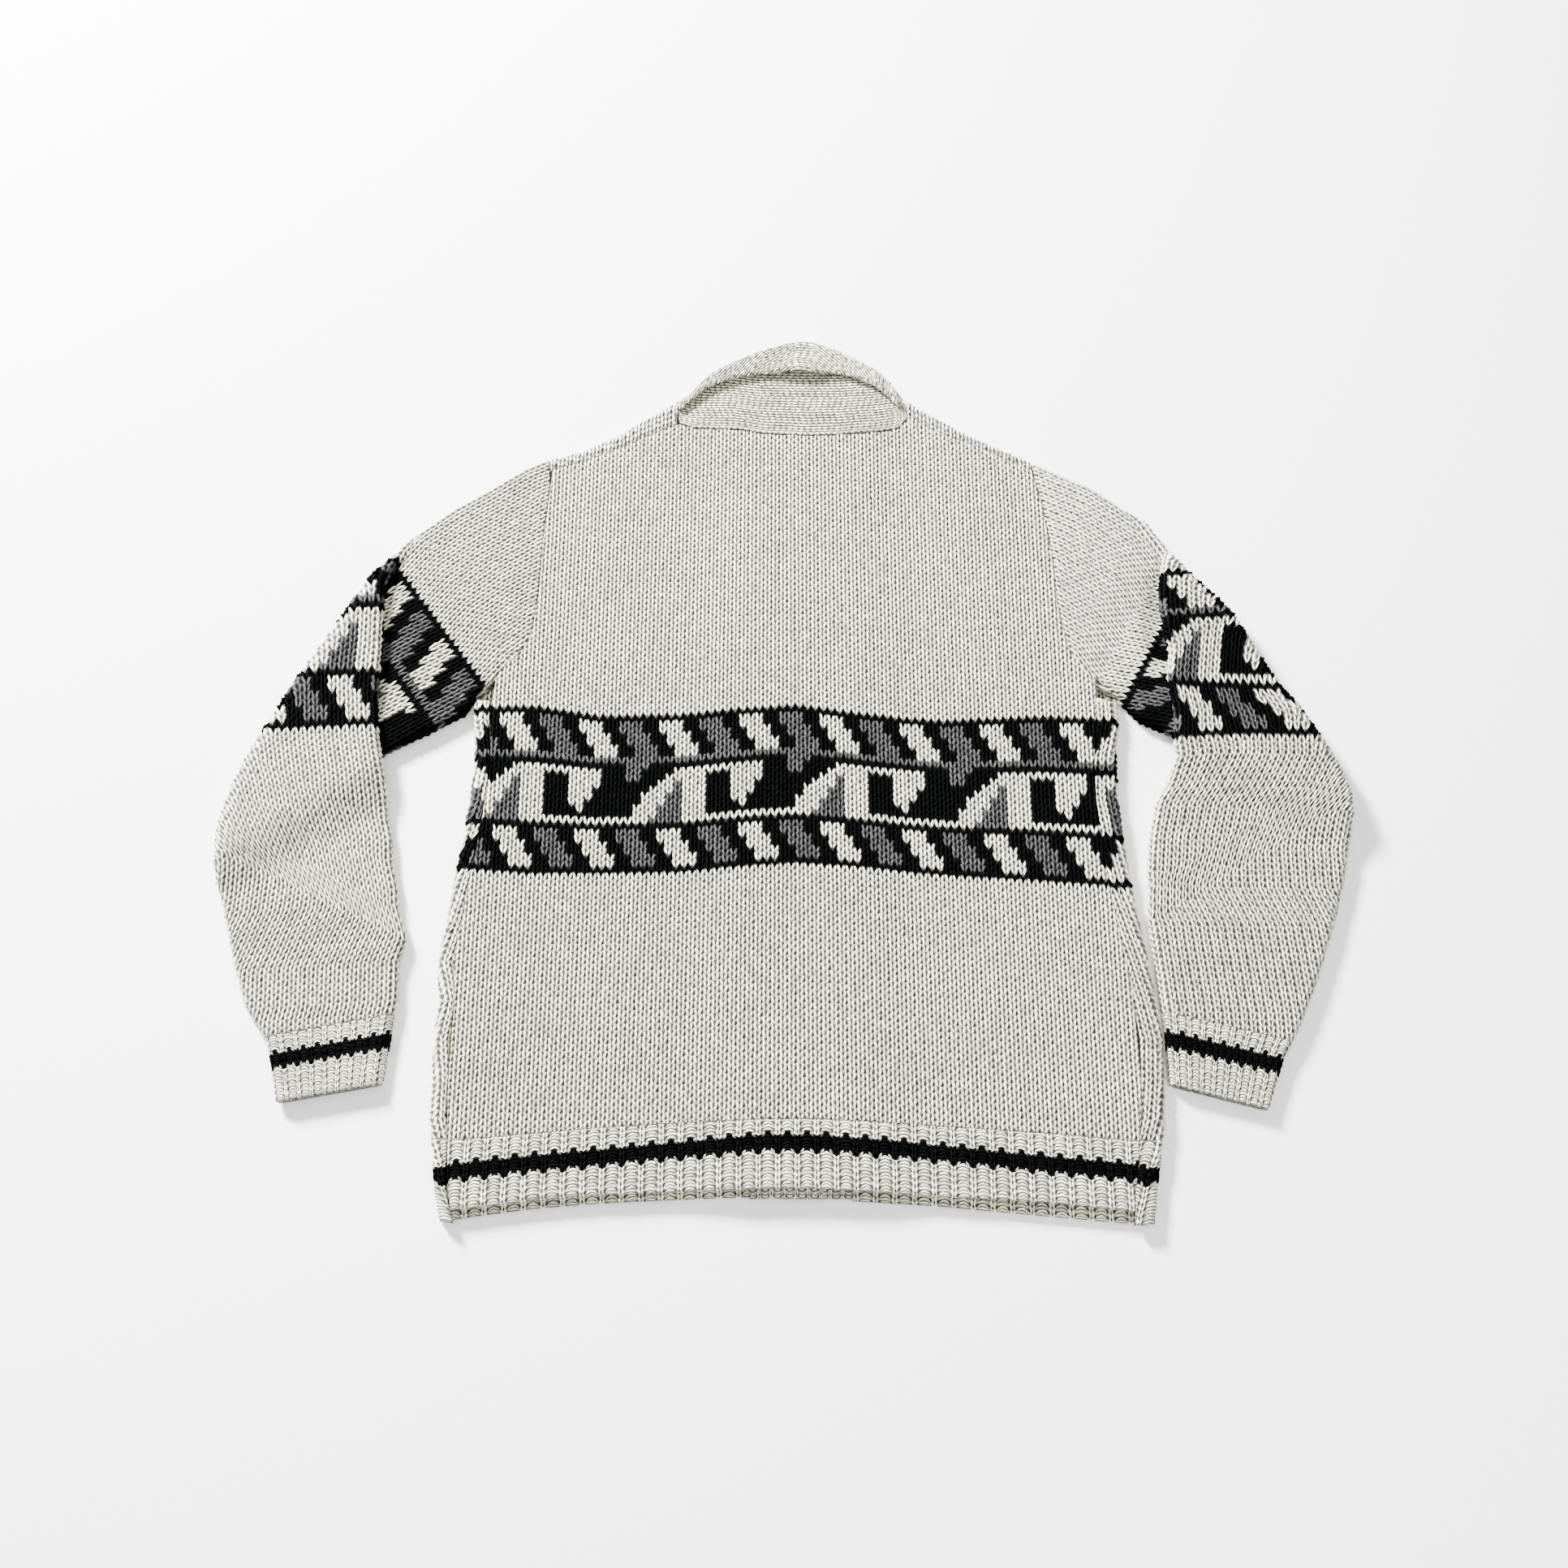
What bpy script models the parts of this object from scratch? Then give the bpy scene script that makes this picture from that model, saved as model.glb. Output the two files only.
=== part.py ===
"""Knitted cardigan laid flat on its front: one closed solid to each piece of cloth.

x runs across the garment from its centre back, y up towards the collar and
z up from the surface it lies on.  All tables are in millimetres.
"""
import math

import bmesh
import bpy
import numpy as np

MM = 0.001
WALL = 4.5      # one layer of the chunky knit
LAID = 11.0     # front and back together: two walls and 2 mm of air
SEAM = 0.3      # clear space between two sewn pieces
RIB_HEM = 15.8  # one rib of the hem
RIB_CUFF = 11.5
RIB_RISE = 0.9
OATMEAL = (0.66, 0.61, 0.52, 1)
WOOL_ROUGHNESS = 0.95

# Folded sides of the body: y up the garment, x of the left and of the right edge
EDGES = (
    (-378, -287, 281), (-350, -292, 284), (-325, -295, 290), (-293, -300, 297),
    (-261, -303, 300), (-228, -305, 301), (-195, -302, 298), (-162, -306, 294),
    (-120, -300, 288), (-92, -297, 284), (-58, -292, 281), (-15, -287, 278),
    (22, -285, 279), (55, -288, 283), (80, -289, 283),
)
# Side seams on the back, counted in from the folded edge
SEAM_IN = {-1: 13, 1: 19}

# Armhole seams from the shoulder down to the underarm: x, y
ARMHOLE = {
    -1: ((-234, 322), (-232, 294), (-235, 255), (-237, 219), (-238, 183), (-240, 160),
         (-243, 139), (-250, 125), (-264, 112), (-272, 98), (-290, 80)),
    1: ((219, 319), (222, 298), (227, 276), (231, 245), (234, 215), (236, 171),
        (240, 145), (245, 123), (255, 109), (265, 97), (285, 80)),
}
# Shoulder folds from the neck outwards: x, y
SHOULDER = {
    -1: ((-121, 383), (-150, 364), (-171, 349), (-205, 332), (-236, 323)),
    1: ((104, 387), (124, 373), (166, 347), (195, 332), (220, 320)),
}
# Shoulder seams on the back from the neck outwards: x, y
SHOULDER_SEAM = {
    -1: ((-113, 361), (-139, 349), (-171, 333), (-200, 321), (-231, 311)),
    1: ((105, 368), (130, 353), (165, 338), (190, 325), (219, 311)),
}
# Neck seam of the back, from the left to the right: x, y
NECK = ((-112, 361), (-99, 356), (-58, 352), (-32, 347), (9, 345), (40, 346), (72, 350),
        (94, 355), (103.5, 367))
# Roll of the collar and the free edge of its fall: x, y
ROLL = ((-117, 386), (-103, 396), (-95, 407), (-80, 423), (-56, 435), (-34, 446), (-2, 455),
        (16, 454), (41, 444), (76, 423), (90, 407), (100, 389))
FALL = ((-112, 377), (-99, 390), (-87, 401), (-63, 411), (-45, 415), (-16, 417), (16, 415),
        (44, 416), (63, 409), (77, 401), (96, 380))

# Where the ribs begin and end: x, start of the ribs, back edge, front edge
HEM = (
    (-300, -312, -369, -377), (-265, -310, -365, -371), (-218, -306, -359, -365),
    (-171, -302, -355, -361), (-107, -298, -353, -358), (-29, -295, -350, -355),
    (12, -295, -350, -357), (82, -298, -354, -361), (113, -300, -356, -363),
    (203, -306, -361, -371), (260, -311, -367, -376), (300, -314, -371, -379),
)

# Sleeves: the upper part lies flat, then folds over a slanting line and comes back
# down on top of itself.  Points are x, y as they lie in the photo.
SLEEVES = {
    -1: dict(
        ridge=((-235, 323), (-256, 313), (-288, 291), (-323, 268), (-354, 243), (-374, 219)),
        under=((-290, 80), (-298, 66), (-333, 46), (-366, 29), (-430, -10), (-505, -63)),
        bulge=((0, 0), (30, 8), (60, 10), (90, 12), (130, 16), (163, 17), (226, 19),
               (258, 16), (290, 9), (311, 0)),
        inner=((-374, 219), (-378, 171), (-376, 116), (-372, 40), (-364, 3), (-355, -51),
               (-344, -99), (-337, -162), (-338, -195), (-341, -207)),
        outer=((-505, -63), (-499, -93), (-490, -117), (-475, -162), (-459, -202), (-444, -226)),
        cuff_inner=((-341, -207), (-343, -229), (-346, -265)),
        cuff_outer=((-444, -226), (-438, -245), (-430, -280)),
    ),
    1: dict(
        ridge=((219, 320), (240, 309), (276, 291), (300, 272), (321, 255), (340, 225)),
        under=((285, 80), (303, 59), (330, 46), (380, 25), (430, 5), (483, -18)),
        bulge=((0, 0), (28, 3), (60, 10), (85, 14), (127, 10), (162, 8), (190, 11),
               (223, 10), (253, 8), (282, 0)),
        inner=((340, 225), (328, 163), (331, 136), (330, 97), (334, 63), (333, 22), (323, -4),
               (313, -19), (305, -51), (301, -87), (299, -128), (302, -165), (305, -205)),
        outer=((483, -18), (477, -51), (468, -90), (453, -134), (435, -178), (418, -215),
               (409, -230)),
        cuff_inner=((305, -205), (306, -229), (306, -266)),
        cuff_outer=((409, -230), (398, -248), (384, -286)),
    ),
}
FOLD_AXIS = LAID + 0.5   # height that a sleeve turns about
FOLD_GIRTH = math.pi * (FOLD_AXIS - LAID / 2)
DROP_RUN = 50            # how soon the lower sleeve comes down to the surface

# Front bands: y, x of the seam to the front, x of the free edge; the right one is lowest
BAND = (
    (-357, 42, -18), (-200, 42, -18), (0, 42, -18), (120, 42, -18), (170, 52, -6),
    (240, 76, 16), (300, 95, 34), (345, 106, 48),
)


def column(table, number, at):
    """Read one column of a table between its rows."""
    rows = np.array(table, float)
    return np.interp(at, rows[:, 0], rows[:, number])


def along(points, shares):
    """Points at the given shares of a line's length."""
    pts = np.array(points, float)
    steps = np.hypot(*np.diff(pts, axis=0).T)
    run = np.concatenate(([0], np.cumsum(steps))) / steps.sum()
    return np.stack([np.interp(shares, run, pts[:, i]) for i in range(pts.shape[1])], axis=-1)


def fitted(points, count):
    """Halve the longest steps of a line until it has this many points."""
    pts = [np.array(p, float) for p in points]
    while len(pts) < count:
        steps = [np.hypot(*(q - p)) for p, q in zip(pts, pts[1:])]
        spot = int(np.argmax(steps))
        pts.insert(spot + 1, (pts[spot] + pts[spot + 1]) / 2)
    return np.array(pts)


def share_of(points):
    """How far along a line each of its points lies, 0 to 1."""
    steps = np.hypot(*np.diff(np.array(points, float), axis=0).T)
    return np.concatenate(([0], np.cumsum(steps))) / steps.sum()


def patch(bottom, top, left, right):
    """Fill four border lines with a grid, v by u, through every border point."""
    bottom, top, left, right = (np.array(p, float) for p in (bottom, top, left, right))
    u = ((share_of(bottom) + share_of(top)) / 2)[None, :, None]
    v = ((share_of(left) + share_of(right)) / 2)[:, None, None]
    b, t, l, r = bottom[None], top[None], left[:, None], right[:, None]
    corners = ((1 - u) * (1 - v) * b[:, :1] + u * (1 - v) * b[:, -1:]
               + (1 - u) * v * t[:, :1] + u * v * t[:, -1:])
    return (1 - v) * b + v * t + (1 - u) * l + u * r - corners


def smooth(value):
    value = np.clip(value, 0, 1)
    return value * value * (3 - 2 * value)


def rolled(offset, height, start, axis, middle):
    """Carry points that lie beyond the start of a fold round its axis."""
    radius = axis - height
    girth = axis - middle
    run = offset - start
    angle = np.clip(run / girth, 0, math.pi)
    past = np.maximum(run - math.pi * girth, 0)
    bent = run > 0
    flat_to = np.where(bent, start + radius * np.sin(angle) - past, offset)
    up_to = np.where(bent, axis - radius * np.cos(angle), height)
    return flat_to, up_to


def wool(name):
    """The cloth's own plain colour."""
    material = bpy.data.materials.new(name + "_wool")
    material.use_nodes = True
    shader = material.node_tree.nodes["Principled BSDF"]
    shader.inputs["Base Color"].default_value = OATMEAL
    shader.inputs["Roughness"].default_value = WOOL_ROUGHNESS
    shader.inputs["Metallic"].default_value = 0.0
    return material


def solid(name, outer, inner, ring=False):
    """Close two grids of points, v by u, into one solid."""
    rows, cols = outer.shape[:2]
    points = np.concatenate([outer.reshape(-1, 3), inner.reshape(-1, 3)]) * MM
    half = rows * cols
    faces = []
    last = cols if ring else cols - 1
    for v in range(rows - 1):
        for u in range(last):
            w = (u + 1) % cols
            a, b, c, d = v * cols + u, v * cols + w, (v + 1) * cols + w, (v + 1) * cols + u
            faces.append((a, b, c, d))
            faces.append((d + half, c + half, b + half, a + half))
    for u in range(last):
        w = (u + 1) % cols
        top = (rows - 1) * cols
        faces.append((w, u, u + half, w + half))
        faces.append((top + u, top + w, top + w + half, top + u + half))
    if not ring:
        for v in range(rows - 1):
            a, b = v * cols, (v + 1) * cols
            faces.append((a, b, b + half, a + half))
            a, b = a + cols - 1, b + cols - 1
            faces.append((b, a, a + half, b + half))
    mesh = bpy.data.meshes.new(name)
    mesh.from_pydata([tuple(p) for p in points], [], faces)
    form = bmesh.new()
    form.from_mesh(mesh)
    bmesh.ops.recalc_face_normals(form, faces=form.faces)
    if form.calc_volume(signed=True) < 0:
        bmesh.ops.reverse_faces(form, faces=form.faces)
    form.to_mesh(mesh)
    form.free()
    mesh.shade_smooth()
    mesh.materials.append(wool(name))
    obj = bpy.data.objects.new(name, mesh)
    bpy.context.scene.collection.objects.link(obj)
    return obj


def crown(x):
    """The back lies higher over the lapped bands."""
    return 5.0 * smooth((105 - np.abs(x)) / 60)


def edge_x(side, y):
    return column(EDGES, 1 if side < 0 else 2, y)


def seam_x(side, y):
    return edge_x(side, y) - side * SEAM_IN[side]


def hem_line(number, xs):
    return [(x, column(HEM, number, x)) for x in xs]


def sheet_pair(grid, low, high):
    """A flat grid as the two faces of a wall between two heights."""
    lower = np.dstack([grid, np.broadcast_to(low, grid.shape[:2])])
    upper = np.dstack([grid, np.broadcast_to(high, grid.shape[:2])])
    return lower, upper


SIDE_ROWS = (-261, -195, -162, -120, -92, -58, -15, 22, 62)


def foot_y(side):
    """Where the side seam meets the ribs."""
    return column(HEM, 1, side * 270) + SEAM


def back_panel():
    def side_line(side):
        low = [(seam_x(side, y), y) for y in (foot_y(side),) + SIDE_ROWS]
        high = [(x - side * SEAM, y) for x, y in ARMHOLE[side][1:-1]]
        tip = SHOULDER_SEAM[side][-1]
        return low + high[::-1] + [(tip[0] - side * SEAM, tip[1] - SEAM)]

    left, right = side_line(-1), side_line(1)
    top = ([left[-1]] + [(x, y - SEAM) for x, y in SHOULDER_SEAM[-1][-2::-1]]
           + [(x, y - SEAM) for x, y in NECK[1:-1]]
           + [(x, y - SEAM) for x, y in SHOULDER_SEAM[1][:-1]] + [right[-1]])
    bottom = fitted([left[0]] + [(x, y + SEAM) for x, y, _, _ in HEM[1:-1]] + [right[0]],
                    len(top))
    grid = patch(bottom, top, left, right)
    rise = crown(grid[..., 0])
    lower, upper = sheet_pair(grid, LAID - WALL + rise, LAID + rise)
    return solid("back", upper, lower)


def turned(side, flat, height):
    """Take a point of a front, laid out flat, round the side fold or the shoulder fold."""
    x, y = flat[..., 0] * side, flat[..., 1]
    start = edge_x(side, np.clip(y, -380, 80)) * side - LAID / 2
    wrap_x, wrap_z = rolled(x, height, start, LAID / 2, WALL / 2)
    on_side = y < 79
    rows = np.array([(p[0] * side, p[1]) for p in SHOULDER[side]], float)
    fold = np.interp(x, rows[:, 0], rows[:, 1])
    lean = 0.88
    up, up_z = rolled((y - fold) * lean, height, -LAID / 2, LAID / 2, WALL / 2)
    out = np.empty(flat.shape[:-1] + (3,))
    out[..., 0] = np.where(on_side, wrap_x, x) * side
    out[..., 1] = np.where(on_side, y, fold + up / lean)
    out[..., 2] = np.where(on_side, wrap_z, up_z)
    return out


WRAP = math.pi * (LAID / 2 - WALL / 2)


def band_x(side, y, number):
    """The left band is the right one mirrored."""
    return side * column(BAND, number, y)


def front_panel(side):
    """Rows from the band seam outwards, close together where the cloth turns."""
    name = "front_left" if side < 0 else "front_right"
    beyond = WRAP - LAID + SEAM_IN[side] - SEAM
    lean = 0.88
    sides = (foot_y(side),) + SIDE_ROWS + (76,)
    outer = [(edge_x(side, y) + side * beyond, y) for y in sides]
    starts = [edge_x(side, y) - side * LAID / 2 for y in sides]
    hole = [(x - side * 2.5 * SEAM, y) for x, y in ARMHOLE[side][-1:0:-1]]
    outer += [(x, max(y, 80)) for x, y in hole]
    tip = ARMHOLE[side][0]
    steps = WRAP * np.linspace(0, 1, 6)
    outer += [(tip[0] - side * 4 * SEAM, tip[1] - LAID / 2 / lean + t / lean) for t in steps]

    def seam(x):
        rows = np.array([(p[0] * side, p[1]) for p in SHOULDER_SEAM[side]], float)
        return np.interp(x * side, rows[:, 0], rows[:, 1])

    def fold(x):
        rows = np.array([(p[0] * side, p[1]) for p in SHOULDER[side]], float)
        return np.interp(x * side, rows[:, 0], rows[:, 1])

    def last(x):
        return fold(x) + (WRAP - LAID) / lean + (fold(x) - seam(x) - SEAM)

    outer += [(outer[-1][0], last(outer[-1][0]))]
    neck = SHOULDER[side][0]
    neck_x = neck[0] + side * 0.5
    inner = [(x + side * SEAM if side > 0 else -x - SEAM, y) for y, x, _ in BAND]
    inner[0] = (inner[0][0], column(HEM, 1, side * 42) + SEAM)
    inner = list(fitted(inner + [(neck_x, neck[1] - LAID / 2 / lean)], len(outer) - 6))
    inner += [(neck_x, neck[1] - LAID / 2 / lean + t / lean) for t in steps[1:]]
    inner += [(SHOULDER_SEAM[side][0][0] + side * 0.5, last(neck_x))]
    flat_shares = np.linspace(0, 1, 8)
    grid = []
    for row, (a, b) in enumerate(zip(inner, outer)):
        a, b = np.array(a, float), np.array(b, float)
        reach = abs(b[0] - a[0])
        near_end = (abs(b[0] - starts[row]) if row < len(starts) else 12) / reach
        cut = 1 - near_end
        shares = np.concatenate([flat_shares * cut, cut + near_end * np.linspace(0, 1, 9)[1:]])
        points = a + (b - a) * shares[:, None]
        grade = smooth((row - (len(outer) - 13)) / 6)
        if row >= len(outer) - 7:
            grade = 1.0
        bow = fold(points[:, 0]) - (fold(a[0]) + (fold(b[0]) - fold(a[0])) * shares)
        if row == len(outer) - 1:
            bow = last(points[:, 0]) - (a[1] + (b[1] - a[1]) * shares)
        if row == 0:
            hem = np.array([column(HEM, 1, side * min(abs(x), 270)) + SEAM for x in points[:, 0]])
            points[:, 1] = hem
        points[:, 1] += bow * grade
        grid.append(points)
    grid = np.array(grid)
    return solid(name, turned(side, grid, 0.0), turned(side, grid, WALL))


def rib(position, pitch):
    """One broad hollow and one narrow crest to each rib, 0 to 1."""
    turn = (position / pitch) % 1.0
    return 0.5 - 0.5 * np.cos(2 * math.pi * turn)


def hem_back():
    left, right = seam_x(-1, -340) , seam_x(1, -340)
    count = int(round((right - left) / RIB_HEM))
    shares = np.linspace(0, 1, count * 4 + 1)
    top = [(x, column(HEM, 1, x)) for x in left + 1 + (right - left - 2) * shares]
    low = [(x, column(HEM, 2, x)) for x in left + 5 + (right - left - 10) * shares]
    grid = patch(low, top, [low[0], top[0]], [low[-1], top[-1]])
    rise = crown(grid[..., 0])
    crest = RIB_RISE * rib(shares * count, 1.0)[None, :]
    lower, upper = sheet_pair(grid, LAID - WALL + rise, LAID + rise)
    upper[..., 2] += crest
    lower[..., 2] -= crest * 0.4
    return solid("hem_back", upper, lower)


def hem_front(side):
    name = "hem_front_left" if side < 0 else "hem_front_right"
    beyond = WRAP - LAID + SEAM_IN[side] - SEAM
    inner = side * 42 + side * SEAM
    out_top = edge_x(side, -313) + side * beyond
    out_low = edge_x(side, -374) + side * (beyond - 3)
    count = int(round(abs(out_top - inner) / RIB_HEM))
    shares = np.linspace(0, 1, count * 4 + 1)

    def line(number, end):
        return [(x, column(HEM, number, side * min(abs(x), 270 if number == 1 else 300)))
                for x in inner + (end - inner) * shares]

    top, low = line(1, out_top), line(3, out_low)
    grid = patch(low, top, [low[0], top[0]], [low[-1], top[-1]])
    outer, within = turned(side, grid, 0.0), turned(side, grid, WALL)
    crest = rib(shares * count, 1.0)[None, :] * RIB_RISE
    outer[..., 2] += crest * smooth((outer[..., 2] - 7) / 4)
    return solid(name, outer, within)


def band(side):
    """The right band lies on the surface, the left one laps over it."""
    name = "band_left" if side < 0 else "band_right"
    ys = np.array([row[0] for row in BAND] + [-280, 60, 145, 205, 270, 325], float)
    ys.sort()
    shares = np.array([0, 0.12, 0.25, 0.38, 0.7, 1])
    grid = np.empty((len(ys), len(shares), 2))
    for row, y in enumerate(ys):
        seam, free = band_x(side, y, 1), band_x(side, y, 2)
        grid[row, :, 0] = seam + (free - seam) * shares
        grid[row, :, 1] = y + 6 * shares * smooth((y - 300) / 45)
    lift = np.zeros(grid.shape[:2])
    if side < 0:
        lift = 4.8 * smooth(shares / 0.38)[None, :] * smooth((330 - grid[..., 1]) / 90)
    lift = lift + 1.6 * smooth((grid[..., 1] - 325) / 18)
    lower, upper = sheet_pair(grid, lift, lift + WALL)
    return solid(name, lower, upper)


def collar():
    """A stand from the neck seam to the roll, and the fall turned down over it."""
    neck = fitted(NECK, 17)
    us = share_of(neck)
    roll, fall = along(ROLL, us), along(FALL, us)
    neck = neck + (0, SEAM / 2)
    axis, half = 5.3, 5.3
    lift = 3.5 * smooth((0.5 - abs(us - 0.5)) * 4)
    steps = []
    for share in (0, 0.2, 0.42, 0.65, 0.85):
        steps.append(("stand", share))
    for turn in (0, 30, 60, 90, 120, 150, 180):
        steps.append(("turn", turn))
    for share in (0.35, 0.7, 1):
        steps.append(("fall", share))
    outer = np.empty((len(steps), len(us), 3))
    inner = np.empty_like(outer)
    for i in range(len(us)):
        way = roll[i] - neck[i]
        way = way / np.hypot(*way)
        centre = roll[i] - way * half
        centre_top = centre
        for row, (kind, share) in enumerate(steps):
            if kind == "stand":
                spot = neck[i] + (centre - neck[i]) * share
                base = (LAID - WALL) * (1 - smooth(share * 1.15)) ** 1.0
                outer[row, i] = (*spot, base)
                inner[row, i] = (*spot, base + WALL)
            elif kind == "turn":
                angle = math.radians(share)
                for grid, radius in ((outer, axis), (inner, axis - WALL)):
                    spot = centre + way * radius * math.sin(angle)
                    grid[row, i] = (*spot, axis - radius * math.cos(angle))
            else:
                spot = centre_top + (fall[i] - centre_top) * share
                base = axis + lift[i] * smooth(share)
                outer[row, i] = (*spot, base + axis)
                inner[row, i] = (*spot, base + axis - WALL)
    return solid("collar", outer, inner)


class Fold:
    """The slanting fold of one sleeve."""

    def __init__(self, side):
        table = SLEEVES[side]
        self.side = side
        self.start = np.array(table["ridge"][-1], float)
        end = np.array(table["under"][-1], float)
        self.way = (end - self.start) / np.hypot(*(end - self.start))
        self.out = np.array((side * abs(self.way[1]), abs(self.way[0])))
        self.bulge = table["bulge"]
        low = np.array(table["under"][1], float)
        self.under = low
        self.under_way = (end - low) / np.hypot(*(end - low))

    def begin(self, q):
        return column(self.bulge, 1, q) - FOLD_AXIS

    def split(self, flat):
        rel = flat - self.start
        return rel @ self.out, rel @ self.way

    def joined(self, offset, q):
        return self.start + offset[..., None] * self.out + q[..., None] * self.way

    def opened(self, folded):
        """Where a point of the turned-back part lies with the sleeve straight."""
        offset, q = self.split(np.asarray(folded, float))
        return self.joined(2 * self.begin(q) + FOLD_GIRTH - offset, q)

    def laid(self, flat, height):
        """Fold a point of the straight sleeve over and let it down to the surface."""
        offset, q = self.split(flat)
        begin = self.begin(q)
        to, up = rolled(offset, height, begin, FOLD_AXIS, LAID / 2)
        spot = self.joined(to, q)
        rel = spot - self.under
        below = self.side * (rel[..., 0] * self.under_way[1] - rel[..., 1] * self.under_way[0])
        turned_back = offset > begin + FOLD_GIRTH
        drop = np.where(turned_back, (FOLD_AXIS * 2 - LAID) * smooth(below / DROP_RUN), 0)
        return np.dstack([spot, up - drop]) if spot.ndim == 3 else np.append(spot, up - drop)


def tube(lines, caps):
    """Rings round lines from edge to edge: flat above and below, rounded at the sides."""
    outer, inner = [], []
    for line in lines:
        first, last = line[0], line[-1]
        head = (line[1] - first) / np.hypot(*(line[1] - first))
        tail = (last - line[-2]) / np.hypot(*(last - line[-2]))
        mid = LAID / 2
        flat = np.concatenate([[first + head * mid], line[1:-1], [last - tail * mid]])
        turns = np.linspace(0, math.pi, caps + 2)[1:-1]
        for store, radius in ((outer, mid), (inner, mid - WALL)):
            ring = [(*p, mid + radius) for p in flat]
            ring += [(*(flat[-1] + tail * radius * math.sin(t)), mid + radius * math.cos(t))
                     for t in turns]
            ring += [(*p, mid - radius) for p in flat[::-1]]
            ring += [(*(flat[0] - head * radius * math.sin(t)), mid - radius * math.cos(t))
                     for t in turns]
            store.append(ring)
    return np.array(outer), np.array(inner)


def sleeve(side):
    name = "sleeve_left" if side < 0 else "sleeve_right"
    table = SLEEVES[side]
    fold = Fold(side)
    armhole = np.array([(x + side * SEAM, y) for x, y in ARMHOLE[side]], float)
    reach = np.hypot(*(np.array(table["under"][-1]) - table["ridge"][-1]))
    shares = (share_of(armhole) + np.linspace(0, 1, len(armhole))) / 2
    qs = shares * reach
    crease = fold.joined(fold.begin(qs), qs)
    ridge, under = fitted(table["ridge"], 9), fitted(table["under"], 9)
    ridge[0], under[0] = armhole[0], armhole[-1]
    ridge[-1], under[-1] = crease[0], crease[-1]
    before = patch(armhole, crease, ridge, under)
    bend = [crease + fold.out * FOLD_GIRTH * t for t in np.linspace(0, 1, 9)[1:]]
    inner = fold.opened(table["inner"])
    outer = fold.opened(table["outer"])
    inner[0], outer[0] = bend[-1][0], bend[-1][-1]
    wrist = np.linspace(inner[-1], outer[-1], len(armhole))
    after = patch(bend[-1], wrist, fitted(inner, 14), fitted(outer, 14))
    lines = list(before) + bend + list(after)[1:]
    skin, lining = tube(lines, 3)
    return solid(name, fold.laid(skin[..., :2], skin[..., 2]),
                 fold.laid(lining[..., :2], lining[..., 2]), ring=True)


def cuff(side):
    name = "cuff_left" if side < 0 else "cuff_right"
    table = SLEEVES[side]
    inner, outer = np.array(table["cuff_inner"], float), np.array(table["cuff_outer"], float)
    gap = np.array((0, SEAM))
    inner[0] -= gap
    outer[0] -= gap
    if side > 0:
        inner, outer = outer, inner
    count = 9
    steps = count * 3 + 1
    shares = np.linspace(0, 1, steps)
    lines = [a + (b - a) * shares[:, None] for a, b in zip(inner, outer)]
    skin, lining = tube(lines, 3)
    crest = np.zeros(skin.shape[1])
    crest[:steps] = rib(np.linspace(0, count, steps), 1.0)
    skin[..., 2] += crest * RIB_RISE
    return solid(name, skin, lining, ring=True)


def main():
    for old in list(bpy.data.objects):
        bpy.data.objects.remove(old)
    back_panel()
    hem_back()
    collar()
    for side in (-1, 1):
        front_panel(side)
        hem_front(side)
        band(side)
        sleeve(side)
        cuff(side)


main()
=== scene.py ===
"""Looks of the knitted cardigan: a stitch-by-stitch skin on each of its pieces."""
import math

import bmesh
import bpy
import numpy as np
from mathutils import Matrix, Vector


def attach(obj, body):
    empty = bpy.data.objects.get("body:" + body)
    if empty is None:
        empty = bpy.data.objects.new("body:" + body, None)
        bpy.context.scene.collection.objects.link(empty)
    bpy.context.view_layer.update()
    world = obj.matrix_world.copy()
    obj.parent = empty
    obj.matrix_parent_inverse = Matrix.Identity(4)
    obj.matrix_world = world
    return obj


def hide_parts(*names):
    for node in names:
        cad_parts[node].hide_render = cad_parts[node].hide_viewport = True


bl_info = {
    "name": "Knitted Cardigan",
    "version": (1, 0, 0),
    "blender": (4, 5, 0),
    "location": "3D View > Sidebar > Cardigan",
    "description": "Knits the skin of a cardigan laid flat, stitch by stitch",
    "category": "Object",
}

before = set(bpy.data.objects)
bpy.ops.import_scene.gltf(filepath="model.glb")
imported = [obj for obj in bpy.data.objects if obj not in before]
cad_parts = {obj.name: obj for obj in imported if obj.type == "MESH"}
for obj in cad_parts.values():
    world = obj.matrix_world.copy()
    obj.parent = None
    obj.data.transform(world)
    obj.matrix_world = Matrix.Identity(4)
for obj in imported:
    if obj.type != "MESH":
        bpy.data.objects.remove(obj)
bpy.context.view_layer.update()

# Sizes below are in millimetres, and MM turns them into metres
MM = 0.001
WALL = 4.5              # thickness of the cloth
LAID = 11.0             # height of two layers with the air between them
SEAM = 0.3              # room left at each seam
WALE = 7.2              # width of one stitch
BODY_WALE = 7.1         # width of one stitch of the back and the fronts
ROW = 5.7               # height of one stitch
RIB_HEM = 15.8          # width of one rib of the hems
RIB_BAND = 10.0         # width of one rib of the front bands
RIB_ROW = 5.3           # height of one stitch of the ribs
STRIPE_HALF = 1.5       # rows from the middle of a rib's dark stripe to its edge
WANDER = 0.22           # how far a stitch strays from its place
PLUMPNESS = 0.1         # how much the height of a stitch varies
TUCK = 0.8              # a point that its outline moves by this much lies flat
RUN_ON = 0.75           # share of the relief that stays where the knitting runs on
EDGE_SINK = 0.1         # share of the relief by which other edges lie below the hollows
EDGE_LIGHT = 0.55       # how much of the hollows' shade the edges are spared
SLIVER = 0.05           # a smaller face, in square millimetres, is left out
OATMEAL, BLACK, CHARCOAL = 0, 1, 2

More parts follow.
